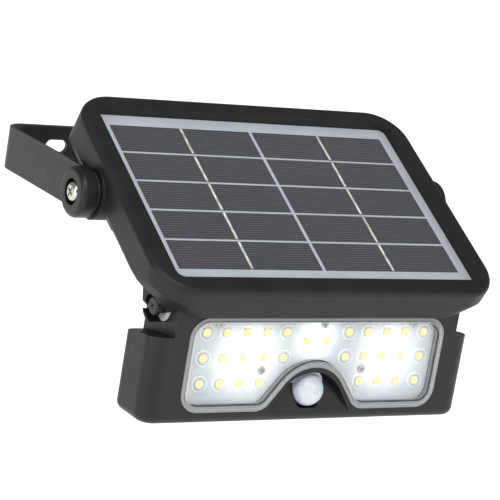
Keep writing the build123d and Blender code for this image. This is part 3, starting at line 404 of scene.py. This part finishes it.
black = (0.0080, 0.0080, 0.0088)
housing_look = moulded_plastic("housing_plastic", black, 0.5)
lamp_look = moulded_plastic("lamp_plastic", (0.0088, 0.0088, 0.0095), 0.44)
cap_look = moulded_plastic("cap_plastic", (0.0075, 0.0075, 0.0082), 0.38, grain=3200, depth=0.00002)
inner_look = moulded_plastic("inner_plastic", (0.03, 0.03, 0.032), 0.5, grain=1800)
paint_look = powder_coat("bracket_powder_coat", (0.011, 0.0115, 0.0135), 0.42)
dark_screw_look = powder_coat("blackened_steel", (0.012, 0.012, 0.012), 0.35)
black_nylon_look = smooth_plastic("black_nylon", (0.009, 0.009, 0.0095), 0.45)
screw_look = steel("plated_steel", (0.62, 0.60, 0.56), (1.0, 0.25, 0.25))
brass_look = steel("turned_brass", (0.62, 0.44, 0.18), (0.3, 1.0, 1.0))
nickel_look = steel("nickel_strip", (0.60, 0.58, 0.53), (1.0, 0.3, 0.3))
glass_look = pane("panel_glass_pane", (0.985, 0.992, 0.995), 0.12, 0.012, (0.55, 0.57, 0.6),
                  bump_depth=0.00002)
lens_look = pane("lens_clear", (0.97, 0.98, 0.985), 0.07, 0.03, (0.56, 0.59, 0.61), mask=lens_rim,
                 edge_radius=0.0003)
# the optics' milky parts glow (glow=0.3): painted glow standing in for LED light scattered in the domes
optic_look = pane("led_optic_clear", (0.99, 0.99, 0.98), 0.05, 0.02, (0.92, 0.93, 0.95), ior=1.42,
                  mask=optic_rim, glow=0.3)
rubber_look = rubber("seal_rubber", (0.014, 0.014, 0.014))
cable_look = rubber("cable_sheath", (0.018, 0.018, 0.019))
button_look = rubber("button_silicone", (0.06, 0.06, 0.065))
cell_look = silicon_cell("silicon_cells")
ribbon_look = solder_ribbon("tinned_ribbon")
sheet_look = white_sheet("back_sheet")
dome_look = frosted_dome("sensor_dome")
board_look = lit_board("light_board")
green_look = circuit("green_board", (0.012, 0.11, 0.045), (0.03, 0.2, 0.085), 0.8, 420)
chip_look = smooth_plastic("chip_black", (0.02, 0.02, 0.021), 0.45)
nylon_look = smooth_plastic("natural_nylon", (0.62, 0.60, 0.54), 0.4)
sleeve_look = smooth_plastic("battery_sleeve", (0.03, 0.16, 0.42), 0.28, (0.025, 0.12, 0.33), 120)
wire_look = smooth_plastic("red_insulation", (0.42, 0.02, 0.015), 0.35, (0.30, 0.015, 0.012))
can_look = steel("sensor_can", (0.58, 0.57, 0.54), (1.0, 1.0, 0.3))

LOOKS = {
    housing_look: ("front_bezel", "rear_shell"),
    lamp_look: ("lamp_front_shell", "lamp_back_cover"),
    cap_look: ("pivot_cap_left", "pivot_cap_right"),
    inner_look: ("battery_holder", "board_stand"),
    paint_look: ("wall_bracket",),
    screw_look: ("pivot_screw_left", "pivot_screw_right", "housing_screws", "charge_board_screws",
                 "lamp_screws", "led_board_screws"),
    dark_screw_look: ("hinge_screw_left", "hinge_screw_right"),
    brass_look: ("pivot_inserts", "hinge_inserts"),
    nickel_look: ("battery_contacts",),
    can_look: ("pir_sensor",),
    glass_look: ("panel_glass",),
    lens_look: ("lens_cover",),
    optic_look: ("led_optics",),
    rubber_look: ("panel_gasket", "lens_gasket", "cable_grommet"),
    cable_look: ("housing_cable", "lamp_cable"),
    button_look: ("mode_button",),
    cell_look: ("solar_cells",),
    ribbon_look: ("busbar_ribbons",),
    sheet_look: ("panel_backsheet",),
    dome_look: ("pir_lens",),
    board_look: ("led_board",),
    green_look: ("charge_board", "control_board", "pir_board"),
    chip_look: ("charge_components", "control_components"),
    nylon_look: ("hinge_washers",),
    black_nylon_look: ("friction_washers",),
    sleeve_look: ("battery_cells",),
    wire_look: ("battery_leads", "panel_leads", "led_leads", "sensor_leads"),
}
for look, names in LOOKS.items():
    for name in names:
        mesh = nodes[name].data
        mesh.materials.clear()
        mesh.materials.append(look)


# ---- LED packages -------------------------------------------------------------------------
def led_spots():
    """Centres of the LEDs in the board's plane, worked out from the chips' box."""
    top = chips_high.z - 1.5 * MM
    spots = []
    for row, (first, count) in enumerate(LED_ROWS):
        for index in range(count):
            for side in (-1, 1):
                spots.append((side * (first + LED_PITCH_X * index), top - LED_PITCH_Z * row))
    return spots + [(side * LED_PITCH_X / 2, top - 4.6 * MM) for side in (-1, 1)]


def ring(mesh, centre, radius, depth, sides=24):
    """A circle of vertices facing the front of the lamp."""
    angles = [2 * pi * k / sides for k in range(sides)]
    x, z = centre
    return [mesh.verts.new((x + radius * cos(a), depth, z + radius * sin(a))) for a in angles]


def lathe(mesh, centre, profile, material=0):
    """A round body from (radius, depth) pairs, closed at both ends."""
    rings = [ring(mesh, centre, radius, depth) for radius, depth in profile]
    sides = len(rings[0])
    for near, far in zip(rings, rings[1:]):
        for k in range(sides):
            face = mesh.faces.new((near[k], near[(k + 1) % sides], far[(k + 1) % sides], far[k]))
            face.material_index = material
            face.smooth = True
    for end, flip in ((rings[0], True), (rings[-1], False)):
        face = mesh.faces.new(end[::-1] if flip else end)
        face.material_index = material


def make_piece(name, mesh, looks, body):
    """Turn a finished mesh into an object that moves with a body."""
    bmesh.ops.recalc_face_normals(mesh, faces=mesh.faces)
    data = bpy.data.meshes.new(name)
    mesh.to_mesh(data)
    mesh.free()
    for look in looks:
        data.materials.append(look)
    piece = bpy.data.objects.new(name, data)
    bpy.context.scene.collection.objects.link(piece)
    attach(piece, body)
    return piece


def led_packages():
    """White ceramic bases with a domed drop of phosphor, in place of the plain chips."""
    base_depth, front = chips_high.y, chips_low.y
    white = smooth_plastic("ceramic_white", (0.84, 0.85, 0.86), 0.4, (0.78, 0.79, 0.8))
    mesh = bmesh.new()
    square = 1.9 * MM
    for x, z in led_spots():
        lower = [mesh.verts.new((x + a * square, base_depth, z + b * square))
                 for a, b in ((-1, -1), (1, -1), (1, 1), (-1, 1))]
        upper = [mesh.verts.new((x + a * square * 0.94, front + 0.1 * MM, z + b * square * 0.94))
                 for a, b in ((-1, -1), (1, -1), (1, 1), (-1, 1))]
        mesh.faces.new(lower)
        mesh.faces.new(upper[::-1])
        for k in range(4):
            mesh.faces.new((lower[k], upper[k], upper[(k + 1) % 4], lower[(k + 1) % 4]))
    base = make_piece("led_bases", mesh, [white], "lamp_head")
    mesh = bmesh.new()
    radius = 1.75 * MM
    for x, z in led_spots():
        profile = [(radius * cos(a), front + 0.12 * MM - 0.55 * MM * sin(a))
                   for a in (0, pi / 8, pi / 4, 3 * pi / 8, pi / 2 - 0.12)]
        lathe(mesh, (x, z), [(radius, front + 0.3 * MM)] + profile)
    glow = lit_phosphor("lit_phosphor", (1.0, 0.72, 0.26), 0.85)
    drops = make_piece("led_phosphor", mesh, [glow], "lamp_head")
    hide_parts("led_chips")
    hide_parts("led_chips")


led_packages()


# ---- floor, lights and camera -------------------------------------------------------------
def floor():
    """A pale floor below the lowest point that any pose reaches."""
    bpy.ops.mesh.primitive_plane_add(size=30, location=(0, 0, -0.16))
    plane = bpy.context.object
    plane.name = "studio_floor"
    look = Look("floor_white")
    cloud = look.noise(3, 2)
    base = look.mix(look.ramp(cloud, 0.3, 0.7), (0.48, 0.48, 0.48), (0.5, 0.5, 0.5))
    plane.data.materials.append(look.finish(look.principled(
        Base_Color=base, Roughness=0.9, Specular_IOR_Level=0.1,
        Emission_Color=(1, 1, 1), Emission_Strength=0.98,
    )))


def area_light(name, place, target, size, power, colour=(1, 1, 1)):
    data = bpy.data.lights.new(name, "AREA")
    data.shape = "RECTANGLE"
    data.size, data.size_y = size
    data.energy = power
    data.color = colour
    light = bpy.data.objects.new(name, data)
    light.location = place
    light.rotation_euler = (Vector(target) - Vector(place)).to_track_quat("-Z", "Y").to_euler()
    bpy.context.scene.collection.objects.link(light)


def studio():
    world = bpy.data.worlds.new("studio")
    bpy.context.scene.world = world
    world.use_nodes = True
    tree = world.node_tree
    tree.nodes.clear()
    out = tree.nodes.new("ShaderNodeOutputWorld")
    seen = tree.nodes.new("ShaderNodeBackground")
    seen.inputs["Strength"].default_value = 1.0
    seen.inputs["Color"].default_value = (1, 1, 1, 1)
    lighting = tree.nodes.new("ShaderNodeBackground")
    lighting.inputs["Strength"].default_value = 0.42
    path = tree.nodes.new("ShaderNodeLightPath")
    mix = tree.nodes.new("ShaderNodeMixShader")
    tree.links.new(path.outputs["Is Camera Ray"], mix.inputs[0])
    tree.links.new(lighting.outputs[0], mix.inputs[1])
    tree.links.new(seen.outputs[0], mix.inputs[2])
    tree.links.new(mix.outputs[0], out.inputs["Surface"])
    area_light("key", (-0.5, -0.9, 1.1), (0, -0.1, 0), (0.9, 0.7), 14)
    area_light("left_strip", (-1.1, -0.35, 0.15), (0, -0.1, 0), (0.25, 1.0), 5)
    area_light("front_fill", (0.6, -1.2, 0.1), (0, -0.1, -0.05), (0.8, 0.8), 4)
    view = bpy.context.scene.view_settings
    view.view_transform = "Standard"
    view.look = "None"


def camera():
    place = Vector((-564.79, -949.89, 211.88)) * MM
    right = Vector((0.84393, -0.51105, 0.16312))
    upward = Vector((-0.01654, 0.27914, 0.96011))
    forward = right.cross(upward) * -1
    data = bpy.data.cameras.new("camera")
    data.lens = 153.3
    data.sensor_width = 36
    data.clip_start = 0.05
    made = bpy.data.objects.new("camera", data)
    made.matrix_world = Matrix.Translation(place) @ Matrix((right, upward, -forward)).transposed().to_4x4()
    bpy.context.scene.collection.objects.link(made)
    bpy.context.scene.camera = made


floor()
studio()
camera()
